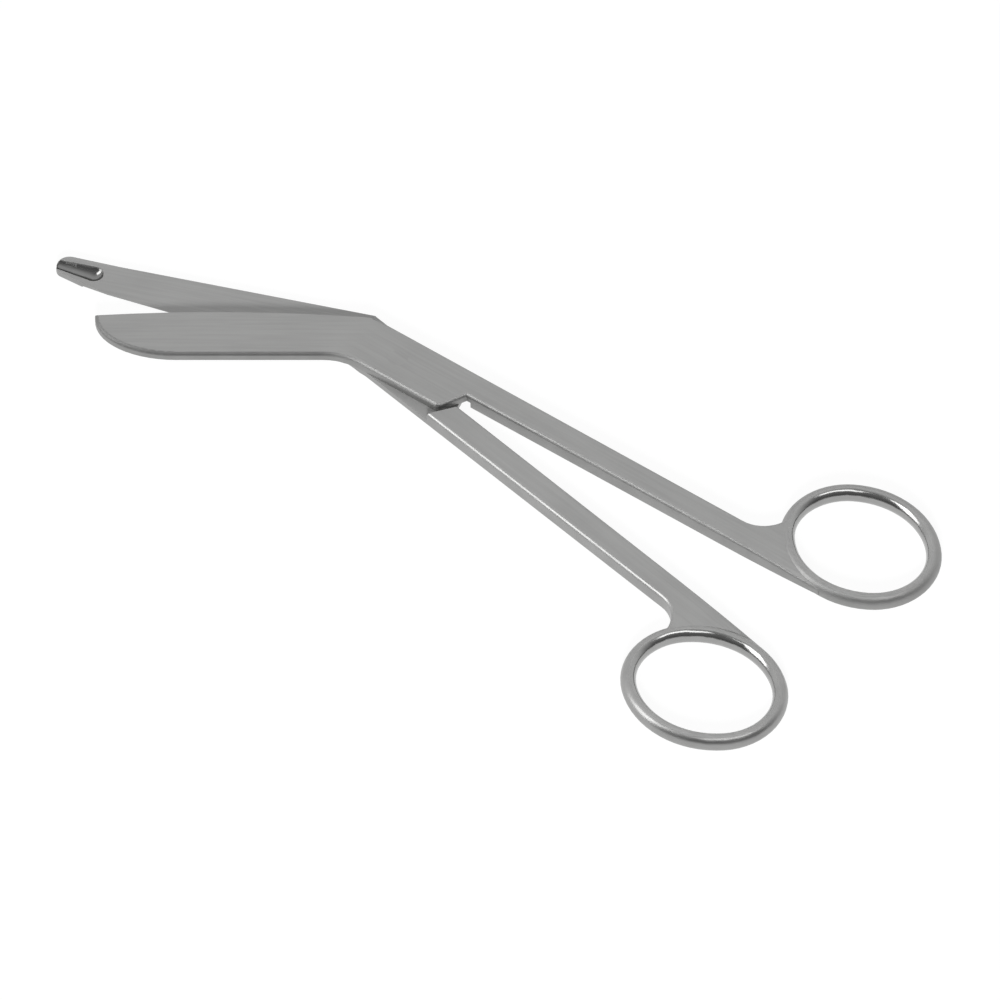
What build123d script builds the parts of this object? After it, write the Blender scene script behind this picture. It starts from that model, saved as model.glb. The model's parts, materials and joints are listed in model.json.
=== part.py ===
"""Bandage scissors: two forged halves lapped at a screw joint, with angled blades and finger rings.

Each half is drawn with its shank along +X, its outer side at +Y, its flat lap face down and its outer
face up, with the pivot axis at the origin. The probe half is then turned over about X, and the two
halves are opened about the pivot. The finished scissors lie flat on Z = 0.
"""
import os
from math import atan2, cos, degrees, radians, sin, tan

from build123d import *

# Joint and shanks, in millimetres and degrees
THICKNESS = 3.5              # full thickness of the joint, both halves together
LAP_GAP = 0.04               # running gap between the two lap faces
JOINT_WIDTH = 11.95           # across the closed joint, outer side to outer side
LAP_SET_IN = 0.5             # a lap plate's free side stops this far short of the joint's width
SHANK_GAP = 0.3              # between the closed shanks
SHANK_END_WIDTH = 5.55        # shank width where it meets its ring
WEB_END_THICKNESS = 2.0      # thickness of the web where it dies into the ring
EDGE_ROUND = 0.75            # rounding along the shanks, the joint and the probe blade's outer face
OPENING = 10.1               # angle between the shanks as the scissors lie
REAR_EDGE_X = 13.9           # where a lap plate's rear edge would meet its side
REAR_EDGE_SLOPE = 65.0       # slope of the rear edge to the shank
REAR_CORNER_ROUND = 1.3      # rounding of the lap plate's free corner
SHOULDER_CLEARANCE = 0.9     # between a rear edge and the other half's shoulder when closed

# Finger rings
RING_HOLE_LENGTH = 26.7
RING_HOLE_WIDTH = 22.8
RING_END_RADIUS = 10.2       # hole radius at the two ends of the oval
RING_WIRE_WIDTH = 2.95
RING_WIRE_HEIGHT = 3.5
RING_TILT = 10.0             # long axis of the ring, turned in towards the other ring
RING_BLEND = 6.5             # fillet between the shank's outer side and the ring
RING_SET_BACK = 0.05         # how far the ring sits outside the line of the shank's inner side
BLUNT_RING_REACH = 98.85     # pivot to the ring's centre, along the shank
PROBE_RING_REACH = 100.5

# Blades
EDGE_LAND = 0.12             # thickness left at the cutting edges
BLUNT_EDGE_BEVEL = 1.2       # width of the blunt blade's cutting bevel
PROBE_EDGE_BEVEL = 2.2       # width of the probe blade's cutting bevel
BACK_ROUND = 0.8             # rounding along the blunt blade's back
BEVEL_END_SLOPE = 25.0       # slope in which the probe blade's cutting bevel runs out at the joint
BLUNT_BEND = 37.0            # blade's turn away from the shank
BLUNT_LENGTH = 58.5          # pivot to blade end, along the blade
BLUNT_BACK = 1.05            # from the pivot across to the back
BLUNT_EDGE_ROOT = 11.9       # from the pivot across to the cutting edge, at the joint
BLUNT_EDGE_TIP = 12.6        # and at the blade's end
BLUNT_EDGE_BOW = 1.1         # outward bow of the cutting edge
BLUNT_BELLY_LENGTH = 15.8    # length of the rounded end
BLUNT_NOSE = 1.2             # height of the nose above the rounded end
BLUNT_NOSE_DEPTH = 0.96      # how far the nose curves back to the cutting edge
PROBE_BEND = 32.2
PROBE_LENGTH = 71.0
PROBE_BACK = 11.3            # from the pivot across to the back
PROBE_EDGE_ROOT = 3.5        # from the pivot across to the cutting edge, at the joint
PROBE_EDGE_SLOPE = 6.8       # the blade's taper towards its foot
BLUNT_BEND_ROUND = 12.0      # inner radius of the blunt blade's bend
PROBE_BEND_ROUND = 10.0      # inner radius of the probe blade's bend

# Probe foot
FOOT_LENGTH = 12.0
FOOT_SWELL = 0.35            # how far the foot swells past the line of the back
FOOT_END_WIDTH = 4.3         # width of the foot's end before its corners are rounded
FOOT_EDGE_SLOPE = 17.8       # slope of the foot's inner side
FOOT_BACK_ROUND = 2.4        # plan rounding of the end's corner on the back's side
FOOT_EDGE_ROUND = 1.6        # plan rounding of the end's corner on the cutting side
FOOT_BLEND = 40.0            # easy curve from the straight back into the foot
SCOOP_LENGTH = 9.6           # hollow in the foot's lap face
SCOOP_DEPTH = 1.25
SCOOP_REAR_WIDTH = 3.9
SCOOP_FRONT_WIDTH = 2.4
SCOOP_OFFSET = 1.3           # from the foot's middle line to the scoop's rear end
SCOOP_TURN = 6.0             # the scoop's turn from the blade's line

# Joint screw
SCREW_DIAMETER = 4.0
SCREW_HEAD_DIAMETER = 6.6
SCREW_HEAD_HEIGHT = 0.85
SCREW_CLEARANCE = 0.04       # radial running clearance in the probe half
SCREW_SLOT_WIDTH = 0.8
SCREW_SLOT_DEPTH = 0.4
HEAD_RECESS = 0.06           # head set below the probe half's outer face

# Values that follow from the sizes above
HALF_WIDTH = JOINT_WIDTH / 2
FREE_SIDE = HALF_WIDTH - LAP_SET_IN
INNER = SHANK_GAP / 2
LAP_FACE = THICKNESS / 2 + LAP_GAP / 2
LAYER = THICKNESS - LAP_FACE
CROTCH_X = REAR_EDGE_X + (FREE_SIDE + INNER) / tan(radians(REAR_EDGE_SLOPE))


def ring_arcs():
    """The four arcs of a ring's centre line: (centre, radius, start angle, sweep) about its middle."""
    long_half = (RING_HOLE_LENGTH + RING_WIRE_WIDTH) / 2
    short_half = (RING_HOLE_WIDTH + RING_WIRE_WIDTH) / 2
    end = RING_END_RADIUS + RING_WIRE_WIDTH / 2
    side = (long_half**2 - 2 * long_half * end + short_half**2) / (2 * (short_half - end))
    turn = degrees(atan2(side - short_half, long_half - end))
    return [
        ((long_half - end, 0), end, -turn, 2 * turn),
        ((0, short_half - side), side, turn, 180 - 2 * turn),
        ((end - long_half, 0), end, 180 - turn, 2 * turn),
        ((0, side - short_half), side, 180 + turn, 180 - 2 * turn),
    ]


def ring_low_point(reach):
    """X of the ring's point nearest the mid-line, and the ring centre's Y that brings it in line there."""
    centre, radius, _, _ = ring_arcs()[3]
    low_x = reach + centre[1] * sin(radians(RING_TILT))
    centre_y = INNER + RING_SET_BACK + RING_WIRE_WIDTH / 2 + radius - centre[1] * cos(radians(RING_TILT))
    return low_x, centre_y


def ring_place(reach):
    _, centre_y = ring_low_point(reach)
    return Pos(reach, centre_y) * Rot(0, 0, -RING_TILT)


def ring(reach):
    """The finger ring: an oval wire bent round the four arcs, standing at mid-thickness."""
    wire = Part()
    for centre, radius, start, sweep in ring_arcs():
        section = Plane.XZ * Pos(radius, 0) * Ellipse(RING_WIRE_WIDTH / 2, RING_WIRE_HEIGHT / 2)
        bend = revolve(section, Axis.Z, sweep)
        wire += Pos(*centre) * Rot(0, 0, start) * bend
    return Pos(0, 0, THICKNESS / 2) * ring_place(reach) * wire


def web_x(reach):
    """Where the shank starts to blend into its ring."""
    return reach - RING_HOLE_LENGTH / 2 - RING_WIRE_WIDTH - RING_BLEND


def outer_y(reach, x):
    """Outer side of the joint and shank: one straight line that narrows a little towards the ring."""
    fall = (HALF_WIDTH - INNER - SHANK_END_WIDTH) / web_x(reach)
    return HALF_WIDTH - fall * x


def ring_fillet(reach):
    """The small plan area that fills the corner between the shank's outer side and the ring."""
    corner = Vector(0, outer_y(reach, 0))
    along = (Vector(1, outer_y(reach, 1)) - corner).normalized()
    outward = along.rotate(Axis.Z, 90)
    centre, radius, _, _ = ring_arcs()[2]
    hub = (ring_place(reach) * Pos(*centre)).position
    offset = corner + outward * RING_BLEND - hub
    back = offset.dot(along)
    run = -back - ((radius + RING_BLEND) ** 2 - offset.dot(offset) + back**2) ** 0.5
    middle = corner + outward * RING_BLEND + along * run
    on_shank = middle - outward * RING_BLEND
    on_ring = hub + (middle - hub).normalized() * radius
    crown = middle + (on_shank + on_ring - middle * 2).normalized() * RING_BLEND
    curve = ThreePointArc(on_shank, crown, on_ring)
    return make_face([curve, Polyline(on_ring, hub, Vector(hub.X, INNER), on_shank)])


def shank_plan(reach):
    """Shank and web seen from above, with the fillet to the ring, cut off at the ring's centre line."""
    low_x, _ = ring_low_point(reach)
    start = CROTCH_X - JOINT_WIDTH / 2
    corners = [
        (start, INNER),
        (low_x, INNER),
        (low_x, outer_y(reach, low_x)),
        (start, outer_y(reach, start)),
    ]
    strip = make_face(Polyline(corners, close=True))
    arcs = [CenterArc(centre, radius, begin, sweep) for centre, radius, begin, sweep in ring_arcs()]
    oval = ring_place(reach) * make_face(arcs)
    return strip + ring_fillet(reach) - oval


def shank_profile(reach):
    """Shank and web seen from the side: level up to the web, which thins towards the ring."""
    low_x, _ = ring_low_point(reach)
    start = CROTCH_X - JOINT_WIDTH / 2
    level = Line((start, THICKNESS / 2), (web_x(reach), THICKNESS / 2))
    fade = TangentArc(level @ 1, (low_x, WEB_END_THICKNESS / 2), tangent=level % 1)
    close = Polyline(fade @ 1, (low_x, 0), (start, 0), level @ 0)
    upper = make_face([level, fade, close])
    return upper + mirror(upper, Plane.XZ)


def shank(reach):
    """The shank and web, rounded along its four long edges."""
    plan = extrude(shank_plan(reach), THICKNESS)
    profile = Pos(0, 0, THICKNESS / 2) * extrude(Plane.XZ * shank_profile(reach), JOINT_WIDTH, both=True)
    bar = plan & profile
    level = THICKNESS / 2

    def is_long(edge):
        spot = edge.center()
        on_inner = abs(spot.Y - INNER) < 0.01
        on_outer = abs(spot.Y - outer_y(reach, spot.X)) < 0.01
        return (on_inner or on_outer) and abs(spot.Z - level) > 0.1

    return fillet(bar.edges().filter_by(is_long), EDGE_ROUND)


def blade_point(bend, along, across):
    """A point of a blade in its half's frame, from its distance along the blade and across it."""
    turn = radians(bend)
    x = -along * cos(turn) - across * sin(turn)
    y = -along * sin(turn) + across * cos(turn)
    return Vector(x, y)


def crossing(first, second, third, fourth):
    """Where the line through two points crosses the line through two others."""
    one = second - first
    two = fourth - third
    share = (third - first).cross(two).Z / one.cross(two).Z
    return first + one * share


def lap_tail(reach):
    """The lap plate's corner points from its free side round to the joint's outer side."""
    return [
        Vector(REAR_EDGE_X, -FREE_SIDE),
        Vector(CROTCH_X, INNER),
        Vector(CROTCH_X, outer_y(reach, CROTCH_X)),
    ]


def nearest(shape, point):
    """The shape's corner at a given point of its outline."""
    return shape.vertices().sort_by_distance(point)[0]


def blunt_outline():
    """Lap plate and blade of the blunt half seen from above, and the arc of its cutting edge."""
    tail = lap_tail(BLUNT_RING_REACH)
    end = BLUNT_LENGTH
    belly_height = BLUNT_EDGE_TIP - BLUNT_NOSE
    root = blade_point(BLUNT_BEND, 0, BLUNT_EDGE_ROOT)
    tip = blade_point(BLUNT_BEND, end, BLUNT_EDGE_TIP)
    side = Vector(0, outer_y(BLUNT_RING_REACH, 0))
    apex = crossing(root, tip, side, tail[2])
    nose_top = blade_point(BLUNT_BEND, end - BLUNT_NOSE_DEPTH, BLUNT_EDGE_TIP)
    nose_low = blade_point(BLUNT_BEND, end, belly_height)
    belly_middle = blade_point(BLUNT_BEND, end - BLUNT_BELLY_LENGTH, belly_height)
    back_end = blade_point(BLUNT_BEND, end - BLUNT_BELLY_LENGTH, BLUNT_BACK)
    back_start = blade_point(BLUNT_BEND, 0, BLUNT_BACK)
    bend = crossing(back_end, back_start, Vector(0, -FREE_SIDE), tail[0])
    cutting = SagittaArc(apex, nose_top, -BLUNT_EDGE_BOW)
    nose = TangentArc(nose_low, nose_top, tangent=nose_low - blade_point(BLUNT_BEND, end, 0))
    belly = EllipticalCenterArc(
        belly_middle, BLUNT_BELLY_LENGTH, belly_height - BLUNT_BACK, 180, arc_size=90, rotation=BLUNT_BEND
    )
    rest = Polyline(back_end, bend, *tail, apex)
    face = make_face([cutting, nose, belly, rest])
    face = fillet(nearest(face, bend), BLUNT_BEND_ROUND)
    face = fillet(nearest(face, tail[0]), REAR_CORNER_ROUND)
    return face, cutting


def probe_outline():
    """Lap plate, blade and foot of the probe half, outer face up, and its straight cutting edge."""
    tail = lap_tail(PROBE_RING_REACH)
    bend_angle = -PROBE_BEND
    taper = tan(radians(PROBE_EDGE_SLOPE))
    foot_start = PROBE_LENGTH - FOOT_LENGTH
    root = blade_point(bend_angle, 0, PROBE_EDGE_ROOT)
    edge_far = blade_point(bend_angle, foot_start, PROBE_EDGE_ROOT - taper * foot_start)
    side = Vector(0, outer_y(PROBE_RING_REACH, 0))
    bend = crossing(root, edge_far, side, tail[2])
    back_end = blade_point(bend_angle, foot_start, -PROBE_BACK)
    foot_top = blade_point(bend_angle, PROBE_LENGTH, -PROBE_BACK - FOOT_SWELL)
    foot_low = blade_point(bend_angle, PROBE_LENGTH, FOOT_END_WIDTH - PROBE_BACK - FOOT_SWELL)
    inward = blade_point(bend_angle + FOOT_EDGE_SLOPE, -FOOT_LENGTH, 0)
    edge_end = crossing(root, edge_far, foot_low, foot_low + inward)
    back_start = blade_point(bend_angle, 0, -PROBE_BACK)
    apex = crossing(back_end, back_start, Vector(0, -FREE_SIDE), tail[0])
    face = make_face(Polyline(foot_low, foot_top, back_end, apex, *tail, bend, edge_end, close=True))
    face = fillet(nearest(face, bend), PROBE_BEND_ROUND)
    face = fillet(nearest(face, tail[0]), REAR_CORNER_ROUND)
    face = fillet(nearest(face, foot_low), FOOT_EDGE_ROUND)
    face = fillet(nearest(face, foot_top), FOOT_BACK_ROUND)
    face = fillet(nearest(face, back_end), FOOT_BLEND)
    return face, Line(edge_end, bend)


def outer_edge(plate, point):
    """The edge of a plate's outer face that runs past a point of its outline."""
    top = plate.faces().sort_by(Axis.Z)[-1]
    return top.edges().sort_by_distance(Vector(point.X, point.Y, THICKNESS))[0]


def blunt_layer():
    """Lap plate and blade of the blunt half, with the bowed cutting bevel and the rounded back."""
    face, cutting = blunt_outline()
    plate = Pos(0, 0, LAP_FACE) * extrude(face, LAYER)
    land = Pos(0, 0, EDGE_LAND / 2) * Cylinder(cutting.radius, EDGE_LAND)
    rise = LAYER - EDGE_LAND
    bevel = Pos(0, 0, EDGE_LAND + rise / 2) * Cone(cutting.radius, cutting.radius - BLUNT_EDGE_BEVEL, rise)
    plate &= Pos(*cutting.arc_center) * Pos(0, 0, LAP_FACE) * (land + bevel)
    plate = fillet(outer_edge(plate, Vector(0, -FREE_SIDE)), BACK_ROUND)
    return fillet(outer_edge(plate, Vector(0, outer_y(BLUNT_RING_REACH, 0))), EDGE_ROUND)


def scoop():
    """The smooth hollow in the foot's lap face, widest at its rear and open at the foot's end."""
    rear_half = SCOOP_REAR_WIDTH / 2
    front_half = SCOOP_FRONT_WIDTH / 2
    lift = (rear_half**2 - SCOOP_DEPTH**2) / (2 * SCOOP_DEPTH)
    rear_radius = lift + SCOOP_DEPTH
    front_radius = (lift**2 + front_half**2) ** 0.5
    rear = PROBE_LENGTH - SCOOP_LENGTH + rear_half
    length = PROBE_LENGTH - rear
    bowl = Sphere(rear_radius)
    trough = Rot(0, -90, 0) * Pos(0, 0, length / 2) * Cone(rear_radius, front_radius, length)
    across = FOOT_END_WIDTH / 2 + SCOOP_OFFSET - PROBE_BACK - FOOT_SWELL
    place = blade_point(-PROBE_BEND, rear, across)
    return Pos(place.X, place.Y, LAP_FACE - lift) * Rot(0, 0, SCOOP_TURN - PROBE_BEND) * (bowl + trough)


def probe_bevel(cutting):
    """What is ground off along the probe blade's edge, from the foot to a sloping end at the joint."""
    run_out = FOOT_LENGTH / 2
    along = cutting % 0
    start = cutting @ 0 - along * run_out
    length = run_out + cutting.length - PROBE_BEND_ROUND * tan(radians(PROBE_BEND - PROBE_EDGE_SLOPE) / 2)
    width = PROBE_EDGE_BEVEL
    corners = [(0, EDGE_LAND), (-width, LAYER), (width, LAYER), (width, EDGE_LAND)]
    lip = make_face(Polyline(corners, close=True))
    run = Plane(origin=start, x_dir=along.rotate(Axis.Z, 90), z_dir=along)
    slope = radians(BEVEL_END_SLOPE)
    fade = (LAYER - EDGE_LAND) / tan(slope)
    end = Plane(
        origin=start + along * length + Vector(0, 0, EDGE_LAND),
        z_dir=along * sin(slope) - Vector(0, 0, cos(slope)),
    )
    return split(extrude(run * lip, length + fade), end, keep=Keep.BOTTOM)


def probe_layer():
    """Lap plate, blade and foot of the probe half, with the straight cutting bevel."""
    face, cutting = probe_outline()
    plate = Pos(0, 0, LAP_FACE) * extrude(face, LAYER)
    back = blade_point(-PROBE_BEND, PROBE_LENGTH / 2, -PROBE_BACK)
    free = Vector(0, -FREE_SIDE)
    side = Vector(HALF_WIDTH, outer_y(PROBE_RING_REACH, HALF_WIDTH))
    plate = fillet([outer_edge(plate, point) for point in (back, free, side)], EDGE_ROUND)
    return plate - Pos(0, 0, LAP_FACE) * probe_bevel(cutting) - scoop()


def lap_recess():
    """Room under a lap plate for the other half: everything short of the shoulder, below the lap face."""
    slope = radians(REAR_EDGE_SLOPE)
    gap = SHOULDER_CLEARANCE / sin(slope)
    lean = JOINT_WIDTH / tan(slope)
    outer = REAR_EDGE_X + gap
    far = outer + (FREE_SIDE + JOINT_WIDTH) / tan(slope)
    corners = [
        (-JOINT_WIDTH, -JOINT_WIDTH),
        (far, -JOINT_WIDTH),
        (far - 2 * lean, JOINT_WIDTH),
        (-JOINT_WIDTH, JOINT_WIDTH),
    ]
    return extrude(make_face(Polyline(corners, close=True)), LAP_FACE)


def half(layer, reach):
    """One half: lap plate and blade, shank, web and ring in one piece, before its screw hole."""
    handle = shank(reach) + ring(reach)
    return layer + (handle - lap_recess())


def blunt_half():
    """The half that carries the screw's thread, outer face up."""
    hole = Pos(0, 0, THICKNESS / 2) * Cylinder(SCREW_DIAMETER / 2, 2 * THICKNESS)
    return half(blunt_layer(), BLUNT_RING_REACH) - hole


def turned_over(shape):
    """The shape turned over about X at mid-thickness."""
    level = Pos(0, 0, THICKNESS / 2)
    return level * Rot(180, 0, 0) * level.inverse() * shape


def probe_half():
    """The half that turns on the screw, outer face down, with the head's counterbore in that face."""
    body = turned_over(half(probe_layer(), PROBE_RING_REACH))
    bore = Cylinder(SCREW_DIAMETER / 2 + SCREW_CLEARANCE, 2 * THICKNESS)
    depth = HEAD_RECESS + SCREW_HEAD_HEIGHT + LAP_GAP
    sink = Pos(0, 0, depth / 2) * Cylinder(SCREW_HEAD_DIAMETER / 2 + SCREW_CLEARANCE, depth)
    return body - bore - sink


def pivot_screw():
    """Slotted screw, head down, its end flush with the blunt half's outer face."""
    head = Cylinder(SCREW_HEAD_DIAMETER / 2, SCREW_HEAD_HEIGHT)
    head = Pos(0, 0, HEAD_RECESS + SCREW_HEAD_HEIGHT / 2) * head
    length = THICKNESS - HEAD_RECESS
    shaft = Pos(0, 0, HEAD_RECESS + length / 2) * Cylinder(SCREW_DIAMETER / 2, length)
    slot = Box(SCREW_HEAD_DIAMETER, SCREW_SLOT_WIDTH, 2 * (HEAD_RECESS + SCREW_SLOT_DEPTH))
    return head + shaft - slot


blunt = Rot(0, 0, OPENING / 2) * blunt_half()
probe = Rot(0, 0, -OPENING / 2) * probe_half()
screw = Rot(0, 0, OPENING / 2) * pivot_screw()
box = blunt.bounding_box().add(probe.bounding_box())
centred = Pos(-box.center().X, -box.center().Y, -box.min.Z)

os.makedirs("parts", exist_ok=True)
export_step(centred * blunt, "parts/blunt_half.step")
export_step(centred * probe, "parts/probe_half.step")
export_step(centred * screw, "parts/pivot_screw.step")
print("pivot at", centred.position)
print("size", box.size)
for name, piece in (("blunt", blunt), ("probe", probe), ("screw", screw)):
    print(name, len(piece.solids()), piece.is_valid, piece.volume)
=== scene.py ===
# %% [markdown]
# # Bandage scissors in satin steel
# These scissors cut dressings off a patient. One blade is blunt, and the longer one ends in a smooth foot
# that slides along the skin. The two forged halves lap over each other at a screw, so each half is one
# piece. The solid model is loaded first and stays where it is. Lengths below are in metres, in its frame.

import json
import math

import bpy
from mathutils import Matrix, Vector


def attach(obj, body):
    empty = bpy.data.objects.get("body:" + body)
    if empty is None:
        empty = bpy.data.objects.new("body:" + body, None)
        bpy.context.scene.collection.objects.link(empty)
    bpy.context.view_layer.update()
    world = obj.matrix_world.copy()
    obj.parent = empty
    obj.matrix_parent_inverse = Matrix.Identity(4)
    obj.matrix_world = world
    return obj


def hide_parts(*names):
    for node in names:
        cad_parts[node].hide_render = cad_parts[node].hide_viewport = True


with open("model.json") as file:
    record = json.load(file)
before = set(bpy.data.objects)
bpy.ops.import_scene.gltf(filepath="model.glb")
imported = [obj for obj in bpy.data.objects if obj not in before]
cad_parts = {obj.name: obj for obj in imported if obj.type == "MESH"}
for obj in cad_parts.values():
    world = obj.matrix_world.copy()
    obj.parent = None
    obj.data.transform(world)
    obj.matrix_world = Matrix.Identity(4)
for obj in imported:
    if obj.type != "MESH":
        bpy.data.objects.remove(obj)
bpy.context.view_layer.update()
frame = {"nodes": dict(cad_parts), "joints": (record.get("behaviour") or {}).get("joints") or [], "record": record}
nodes = frame["nodes"]
pivot = Vector(frame["joints"][0]["pos_m"])
print("nodes", sorted(nodes), "pivot", tuple(round(v, 5) for v in pivot))

# %% [markdown]
# The photograph looks down on the table at 47 degrees with a long lens, so parallel edges stay parallel.
# A camera far away with a narrow field does the same. It could be placed by eye, but the angles and the
# point at the picture's middle are known, so the camera is put on that line and turned to face the point.

# %% Camera
ELEVATION = math.radians(47.0)
TURN = math.radians(42.05)
DISTANCE = 1.9
PICTURE_WIDTH = 0.19
SENSOR = 36.0
VIEW_DEPTH = 20.0
AIM_FROM_PIVOT = Vector((0.01963, -0.0341, 0.0))
UP = Vector((0.0, 0.0, 1.0))


def new_object(name, data):
    made = bpy.data.objects.new(name, data)
    bpy.context.collection.objects.link(made)
    return made


aim = pivot + Matrix.Rotation(TURN, 3, "Z") @ AIM_FROM_PIVOT
away = Vector((-math.sin(TURN), math.cos(TURN), 0.0))
sight = away * math.cos(ELEVATION) - UP * math.sin(ELEVATION)
lens = bpy.data.cameras.new("camera")
lens.sensor_width = SENSOR
lens.lens = SENSOR * DISTANCE / PICTURE_WIDTH
lens.clip_end = VIEW_DEPTH
camera = new_object("camera", lens)
camera.location = aim - sight * DISTANCE
camera.rotation_euler = sight.to_track_quat("-Z", "Y").to_euler()
bpy.context.scene.camera = camera
print("camera at", tuple(round(v, 3) for v in camera.location), "lens", round(lens.lens, 1), "mm")

# %% [markdown]
# Node trees are easier to read as sums than as boxes and wires. `Wire` holds a socket, so that `1 - mask`
# or `grain * 0.1 + 0.3` adds the Math nodes by itself. `Tree.node` makes every other node from its type,
# its settings and what goes into its sockets. Both work for shaders and for Geometry Nodes.

# %% Node helper
class Wire:
    """A socket that can be added, subtracted, multiplied and compared like a number."""

    def __init__(self, tree, socket):
        self.tree = tree
        self.socket = socket

    def math(self, operation, first, second):
        return self.tree.node("ShaderNodeMath", {"operation": operation}, {0: first, 1: second})

    def __add__(self, other):
        return self.math("ADD", self, other)

    def __sub__(self, other):
        return self.math("SUBTRACT", self, other)

    def __rsub__(self, other):
        return self.math("SUBTRACT", other, self)

    def __mul__(self, other):
        return self.math("MULTIPLY", self, other)

    def __gt__(self, other):
        return self.math("GREATER_THAN", self, other)

    __radd__ = __add__
    __rmul__ = __mul__


class Tree:
    """A node tree that is filled by calls."""

    def __init__(self, node_tree):
        self.node_tree = node_tree
        self.node_tree.nodes.clear()

    def node(self, kind, settings=None, sockets=None, output=0):
        made = self.node_tree.nodes.new(kind)
        for name, value in (settings or {}).items():
            setattr(made, name, value)
        for key, value in (sockets or {}).items():
            if isinstance(value, Wire):
                self.node_tree.links.new(value.socket, made.inputs[key])
            else:
                made.inputs[key].default_value = value
        if len(made.outputs) == 0:
            return None
        return Wire(self, made.outputs[output])


print("node helper ready")

# %% [markdown]
# The picture has a plain white ground. A floor that only reflects light would look grey there, so this one
# also glows towards the camera and in reflections, and the scissors still shade it softly. It lies a hair
# below the steel, because two faces at one height would flicker.

# %% Floor
FLOOR_HALF = 3.0
FLOOR_DROP = 0.00002
FLOOR_TONE = 0.95
FLOOR_GLOW = 0.92
GLOW_STRENGTH = 1.03
CORNER_SIDES = ((-1, -1), (1, -1), (1, 1), (-1, 1))


def new_material(name):
    material = bpy.data.materials.new(name)
    material.use_nodes = True
    return material, Tree(material.node_tree)


def grey(level):
    return (level, level, level, 1.0)


def ray(tree, kind):
    return tree.node("ShaderNodeLightPath", output=f"Is {kind} Ray")


corners = [(x * FLOOR_HALF, y * FLOOR_HALF, 0.0) for x, y in CORNER_SIDES]
floor_mesh = bpy.data.meshes.new("floor")
floor_mesh.from_pydata(corners, [], [(0, 1, 2, 3)])
floor = new_object("floor", floor_mesh)
floor.location.z = -FLOOR_DROP
material, tree = new_material("pale_floor")
shown = ray(tree, "Camera") + ray(tree, "Glossy") + ray(tree, "Transmission")
shaded = tree.node("ShaderNodeBsdfDiffuse", None, {"Color": grey(FLOOR_TONE)})
glow = tree.node("ShaderNodeEmission", None, {"Color": grey(1.0), "Strength": GLOW_STRENGTH})
mixed = tree.node("ShaderNodeMixShader", None, {0: shown * FLOOR_GLOW, 1: shaded, 2: glow})
tree.node("ShaderNodeOutputMaterial", None, {"Surface": mixed})
floor_mesh.materials.append(material)
print("floor", 2 * FLOOR_HALF, "m wide")

# %% [markdown]
# Polished steel looks like what surrounds it. This room is bright behind the scissors and dim on the side
# of the camera, so each rounded edge gets a light line and a dark one. An evenly white room would not do
# that. Light that the room scatters on the steel is low and even, because the lamps light the satin faces.

# %% Room
ROOM_LOW = 0.12
ROOM_NEAR = 0.24
ROOM_FAR = 0.95
ROOM_SCATTERED = 0.12
WALL_RISE = (0.0, 0.6)
ROOM_DEPTH = (-0.5, 0.6)


def axis(tree, vector, name):
    return tree.node("ShaderNodeSeparateXYZ", None, {0: vector}, name)


def vector_math(tree, operation, *inputs, output=0):
    return tree.node("ShaderNodeVectorMath", {"operation": operation}, dict(enumerate(inputs)), output)


def soft_step(tree, value, low, high):
    limits = {"Value": value, "From Min": low, "From Max": high}
    return tree.node("ShaderNodeMapRange", {"interpolation_type": "SMOOTHSTEP"}, limits)


world = bpy.data.worlds.new("room")
world.use_nodes = True
bpy.context.scene.world = world
tree = Tree(world.node_tree)
direction = tree.node("ShaderNodeTexCoord", output="Generated")
ahead = vector_math(tree, "DOT_PRODUCT", direction, away, output="Value")
rise = soft_step(tree, axis(tree, direction, "Z"), *WALL_RISE)
depth = soft_step(tree, ahead, *ROOM_DEPTH)
wall = depth * (ROOM_FAR - ROOM_NEAR) + ROOM_NEAR
low = depth * (ROOM_FAR - ROOM_LOW) + ROOM_LOW
room = rise * (wall - low) + low
seen = ray(tree, "Camera")
scattered = ray(tree, "Diffuse")
level = seen + scattered * ROOM_SCATTERED + (1.0 - seen - scattered) * room
background = tree.node("ShaderNodeBackground", None, {"Color": grey(1.0), "Strength": level})
tree.node("ShaderNodeOutputWorld", None, {"Surface": background})
print("room", ROOM_LOW, "to", ROOM_FAR)

# %% [markdown]
# Three soft lamps do the rest. One at the left and one above the camera are seen as the white streaks on
# the rings and along the shanks. The third stands low in front and is kept out of reflections: it throws
# the shadow of the upper blade on the lower one, as in the photograph, where the blades would merge
# without it. Each lamp is placed by how far it stands to the left, towards the camera and up.

# %% Lamps
LEFT = Vector((-math.cos(TURN), -math.sin(TURN), 0.0))


def soft_lamp(name, left, near, height, size, watts):
    place = LEFT * left - away * near + UP * height
    light = bpy.data.lights.new(name, "AREA")
    light.shape = "RECTANGLE"
    light.size, light.size_y = size
    light.energy = watts
    lamp = new_object(name, light)
    lamp.location = aim + place
    lamp.rotation_euler = (-place).to_track_quat("-Z", "Y").to_euler()
    return lamp


side_lamp = soft_lamp("side_lamp", left=0.98, near=0.09, height=0.69, size=(0.5, 1.0), watts=6.5)
top_lamp = soft_lamp("top_lamp", left=-0.22, near=0.42, height=0.9, size=(0.9, 0.35), watts=2.8)
top_lamp.visible_diffuse = False
front_lamp = soft_lamp("front_lamp", left=0.0, near=1.36, height=0.65, size=(0.25, 0.25), watts=30.0)
front_lamp.visible_glossy = False
print("lamps", side_lamp.name, top_lamp.name, front_lamp.name)

# %% [markdown]
# The flat sides of such scissors are ground on a fine belt. Belt marks run along the shank and along the
# blade, so one noise is stretched in each of those two directions, and the two change over at the bend.
# A wide soft noise stands for uneven grinding, and a finer one for the faint ripples that buffing leaves.
# A picture of steel could be laid on instead, but it would need its own map and would repeat.

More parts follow.
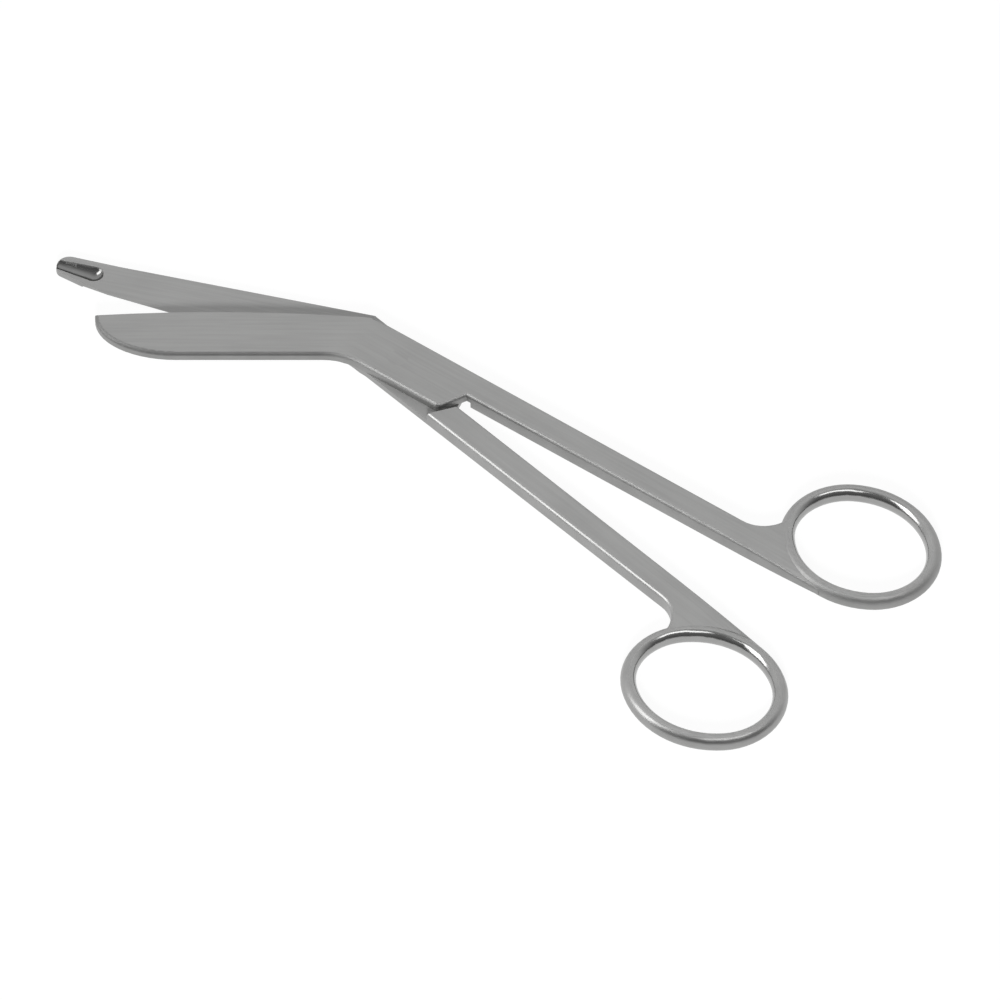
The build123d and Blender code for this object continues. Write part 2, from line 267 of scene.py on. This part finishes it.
# %% Marks in the steel
GRAIN_ACROSS = 1900.0
GRAIN_ALONG = 70.0
GRAIN_DETAIL = 3.0
CLOUD_SCALE = 70.0
CLOUD_DETAIL = 4.0
RIPPLE_SCALE = 260.0
RIPPLE_DETAIL = 2.0
BEND_FROM = -0.030
BEND_TO = -0.036


def noise(tree, place, scale, detail):
    return tree.node("ShaderNodeTexNoise", None, {"Vector": place, "Scale": scale, "Detail": detail})


def belt_marks(tree, place, turn):
    along = tree.node("ShaderNodeMapping", None, {"Vector": place, "Rotation": (0.0, 0.0, -turn)})
    scale = (GRAIN_ALONG, GRAIN_ACROSS, GRAIN_ACROSS)
    drawn = tree.node("ShaderNodeMapping", None, {"Vector": along, "Scale": scale})
    return noise(tree, drawn, 1.0, GRAIN_DETAIL)


def steel_marks(tree, turn, bend):
    """Belt marks, clouds and ripples, and a mask of what lies beyond the bend, which is the blade."""
    place = tree.node("ShaderNodeTexCoord", output="Object")
    limits = {"Value": axis(tree, place, "X"), "From Min": BEND_FROM, "From Max": BEND_TO}
    blade = tree.node("ShaderNodeMapRange", None, limits)
    shank_grain = belt_marks(tree, place, turn)
    grain = shank_grain + blade * (belt_marks(tree, place, turn + bend) - shank_grain)
    cloud = noise(tree, place, CLOUD_SCALE, CLOUD_DETAIL)
    ripple = noise(tree, place, RIPPLE_SCALE, RIPPLE_DETAIL)
    return grain, cloud, ripple, blade


print("belt marks with", GRAIN_ACROSS, "cells a metre across and", GRAIN_ALONG, "along")

# %% [markdown]
# The flats look satin. The inner sides of the rings and the hollow of the foot are buffed bright, and rounded
# edges are in between. The hollow gets painted shade, a little darker in its colour, and on the blades the
# upper roundings are duller and get painted shade as well.
# One steel with a mask for each finish is closer to the real thing than four steels, because a real edge
# runs from one finish into the next. The fine marks of a satin face scatter light every way, so the shader
# is only part metal there.

# %% Steel
MASKS = ("ground", "buffed", "hollow", "rim")
NOISE_MIDDLE = 0.5
STEEL_DARK = 0.29
STEEL_LIGHT = 0.39
STEEL_BLUE = 0.99
SATIN_ROUGH = 0.42
SATIN_GRAIN = 0.12
SATIN_CLOUD = 0.08
SATIN_SCATTER = 0.55
SATIN_PATCHES = 0.8
BUFFED_ROUGH = 0.13
BUFFED_CLOUD = 0.1
EDGE_CLOUD = 0.3
EDGE_PATCHES = 0.9
EDGE_DARKER = 0.3
DULL_ROUGH = 0.12
# Painted shade on the blades' upper roundings, as a share of the colour.
EDGE_PAINTED_SHADE = 0.3
# Painted shade in the foot's hollow, as a share of the colour.
HOLLOW_PAINTED_SHADE = 0.35
MARK_DEPTH = 0.001
GRAIN_SHARE = 0.003
EDGE_SHARE = 0.03
BUFFED_SHARE = 0.1


def steel(name, turn, bend, edge):
    """Belt marks run at `turn`, and `bend` further on the blade. `edge` is the edges' least roughness."""
    material, tree = new_material(name)
    grain, cloud, ripple, blade = steel_marks(tree, turn, bend)
    read = [tree.node("ShaderNodeAttribute", {"attribute_name": mask}, output="Fac") for mask in MASKS]
    ground, buffed, hollow, rim = read
    rounded = 1.0 - ground - buffed
    # Upper roundings on the blades: rougher, and painted shade in their colour.
    dull_and_shaded = rim * blade

    satin = SATIN_ROUGH + SATIN_GRAIN * grain + SATIN_CLOUD * cloud
    bright = BUFFED_ROUGH + BUFFED_CLOUD * cloud
    between = edge + EDGE_CLOUD * cloud
    roughness = ground * satin + buffed * bright + rounded * between + dull_and_shaded * DULL_ROUGH

    brushed = grain + (cloud - NOISE_MIDDLE) * SATIN_PATCHES
    patchy = (cloud + ripple) * EDGE_PATCHES - EDGE_DARKER
    shade = ground * brushed + (1.0 - ground) * patchy
    # Painted shade: the colour is made darker in the hollow and on the blades' upper roundings.
    painted_shade = 1.0 - HOLLOW_PAINTED_SHADE * hollow - EDGE_PAINTED_SHADE * dull_and_shaded
    level = (shade * (STEEL_LIGHT - STEEL_DARK) + STEEL_DARK) * painted_shade
    colour = tree.node("ShaderNodeCombineColor", None, {0: level, 1: level, 2: level * STEEL_BLUE})

    ripples = rounded * ripple * EDGE_SHARE + buffed * ripple * BUFFED_SHARE
    height = ground * grain * GRAIN_SHARE + ripples
    bump = tree.node("ShaderNodeBump", None, {"Height": height, "Distance": MARK_DEPTH, "Strength": 1.0})
    metallic = 1.0 - ground * SATIN_SCATTER
    sockets = {"Base Color": colour, "Metallic": metallic, "Roughness": roughness, "Normal": bump}
    surface = tree.node("ShaderNodeBsdfPrincipled", None, sockets)
    tree.node("ShaderNodeOutputMaterial", None, {"Surface": surface})
    return material


half_opening = math.radians(5.05)
blunt_steel = steel("blunt_steel", turn=half_opening, bend=math.radians(37.0), edge=0.38)
probe_steel = steel("probe_steel", turn=-half_opening, bend=math.radians(32.2), edge=0.23)
joint_steel = steel("joint_steel", turn=0.0, bend=0.0, edge=0.2)
print("materials", blunt_steel.name, probe_steel.name, joint_steel.name)

# %% [markdown]
# A solid model arrives as loose flat triangles, so a round wire looks cut from small planes. A copy of each
# piece is welded, its sharp ridges and valleys are kept, and the rest is shaded smooth. A valley is kept at
# a smaller angle than a ridge, because smoothing across it would smear its shade over the faces beside it.

# %% Smooth shading
def smooth_between_creases(tree, given):
    sockets = {"Geometry": given["Geometry"], "Distance": given["Weld Distance"]}
    welded = tree.node("GeometryNodeMergeByDistance", None, sockets)
    sockets = {"Geometry": welded, "Shade Smooth": True}
    smooth = tree.node("GeometryNodeSetShadeSmooth", {"domain": "FACE"}, sockets)
    angle = tree.node("GeometryNodeInputMeshEdgeAngle", output="Unsigned Angle")
    signed = tree.node("GeometryNodeInputMeshEdgeAngle", output="Signed Angle")
    ridge = angle > given["Sharp Angle"]
    valley = (signed * -1.0) > given["Valley Angle"]
    sockets = {"Geometry": smooth, "Shade Smooth": (1.0 - ridge) * (1.0 - valley)}
    return tree.node("GeometryNodeSetShadeSmooth", {"domain": "EDGE"}, sockets)


print("smooth shading ready")

# %% [markdown]
# The finish of a real pair depends on where the belt and the buffing wheel could reach, and that can be
# read from the shape: ground where a face looks almost straight up or down, hollow for what looks up from
# below the lap, which is the foot's scoop, buffed in the hollow and where a face looks in towards the middle
# of its ring, and rim for the rounding along an upper edge. Painted masks would have to be redone whenever
# the solid changes.

# %% Finish masks
TURNED_IN = (0.05, 0.3)
RIM_RISE = (0.1, 0.5)
FLATTENED = (1.0, 1.0, 0.0)


def inside_ring(tree, given, normal, place):
    """How much a face near the ring looks in towards the ring's middle, seen from above."""
    offset = vector_math(tree, "SUBTRACT", given["Ring Centre"], place)
    level_offset = vector_math(tree, "MULTIPLY", offset, FLATTENED)
    reach = vector_math(tree, "LENGTH", level_offset, output="Value")
    inward = vector_math(tree, "NORMALIZE", level_offset)
    facing_in = vector_math(tree, "DOT_PRODUCT", normal, inward, output="Value")
    return soft_step(tree, facing_in, *TURNED_IN) * (given["Ring Reach"] > reach)


def finish_masks(tree, given):
    """The masks in the order of MASKS."""
    normal = tree.node("GeometryNodeInputNormal")
    place = tree.node("GeometryNodeInputPosition")
    facing = axis(tree, normal, "Z")
    hollow = (facing > 0.0) * (given["Lap Height"] > axis(tree, place, "Z"))
    level = soft_step(tree, facing * facing, given["Round Limit"], given["Flat Limit"])
    ground = level * (1.0 - hollow)
    buffed = inside_ring(tree, given, normal, place) * (1.0 - ground) + hollow
    rim = soft_step(tree, facing, *RIM_RISE) * (1.0 - ground - hollow)
    return ground, buffed, hollow, rim


print("masks", *MASKS)

# %% [markdown]
# Written once as a tree with named inputs, the finish treats all pieces alike. The tree takes a piece's
# geometry, smooths it, stores the masks on its corners, and gives it its steel. Each piece could be smoothed
# and painted by hand instead, but three pieces would hardly come out the same.

# %% Finish tree
FINISH_INPUTS = {
    "Geometry": "NodeSocketGeometry",
    "Weld Distance": "NodeSocketFloat",
    "Sharp Angle": "NodeSocketFloat",
    "Valley Angle": "NodeSocketFloat",
    "Flat Limit": "NodeSocketFloat",
    "Round Limit": "NodeSocketFloat",
    "Lap Height": "NodeSocketFloat",
    "Ring Centre": "NodeSocketVector",
    "Ring Reach": "NodeSocketFloat",
    "Steel": "NodeSocketMaterial",
}


def finish_tree():
    group = bpy.data.node_groups.new("finish", "GeometryNodeTree")
    tree = Tree(group)
    for name, kind in FINISH_INPUTS.items():
        group.interface.new_socket(name, in_out="INPUT", socket_type=kind)
    group.interface.new_socket("Geometry", in_out="OUTPUT", socket_type="NodeSocketGeometry")
    entry = group.nodes.new("NodeGroupInput")
    given = {socket.name: Wire(tree, socket) for socket in entry.outputs if socket.name}
    shape = smooth_between_creases(tree, given)
    settings = {"data_type": "FLOAT", "domain": "CORNER"}
    for name, mask in zip(MASKS, finish_masks(tree, given)):
        sockets = {"Geometry": shape, "Name": name, "Value": mask}
        shape = tree.node("GeometryNodeStoreNamedAttribute", settings, sockets)
    real = tree.node("GeometryNodeRealizeInstances", None, {"Geometry": shape})
    painted = tree.node("GeometryNodeSetMaterial", None, {"Geometry": real, "Material": given["Steel"]})
    tree.node("NodeGroupOutput", None, {0: painted})
    return group


finish = finish_tree()
print("finish tree with", len(finish.nodes), "nodes")

# %% [markdown]
# Each piece goes through the tree. Weighted normals then let the large flat faces keep their own direction,
# so that only the narrow roundings bend the light, as they do on ground steel. The result is stored as a
# plain mesh, stands for its solid, and moves with the same body. The middle of each ring is the middle of
# the opening that the record keeps free for a finger. The screw has none, so its ring is put a metre away.

# %% Dress the pieces
FINISH_SIZES = {
    "Weld Distance": 0.000002,
    "Sharp Angle": math.radians(42.0),
    "Valley Angle": math.radians(20.0),
    "Flat Limit": 0.985,
    "Round Limit": 0.9,
    "Lap Height": 0.0017,
    "Ring Reach": 0.0175,
}
NO_RING = (1.0, 0.0, 0.0)

opening_boxes = {opening["name"]: opening["box_m"] for opening in frame["record"]["physics"]["openings"]}


def opening_middle(name):
    low, high = opening_boxes[name]
    return tuple((start + end) / 2 for start, end in zip(low, high))


def dress(node, body, material, ring):
    inputs = {**FINISH_SIZES, "Ring Centre": ring, "Steel": material}
    piece = new_object(node + "_steel", nodes[node].data.copy())
    modifier = piece.modifiers.new("finish", "NODES")
    modifier.node_group = finish
    for item in finish.interface.items_tree:
        if item.name in inputs:
            modifier[item.identifier] = inputs[item.name]
    weighted = piece.modifiers.new("weighted", "WEIGHTED_NORMAL")
    weighted.keep_sharp = True
    weighted.mode = "FACE_AREA"
    evaluated = piece.evaluated_get(bpy.context.evaluated_depsgraph_get())
    mesh = bpy.data.meshes.new_from_object(evaluated)
    piece.modifiers.clear()
    piece.data = mesh
    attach(piece, body)
    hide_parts(node)
    print(piece.name, len(mesh.polygons), "faces")


dress("blunt_half", "upper", blunt_steel, opening_middle("blunt_ring"))
dress("probe_half", "lower", probe_steel, opening_middle("probe_ring"))
dress("pivot_screw", "upper", joint_steel, NO_RING)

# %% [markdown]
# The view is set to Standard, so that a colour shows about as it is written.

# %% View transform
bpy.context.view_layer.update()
view_settings = bpy.context.scene.view_settings
view_settings.view_transform = "Standard"
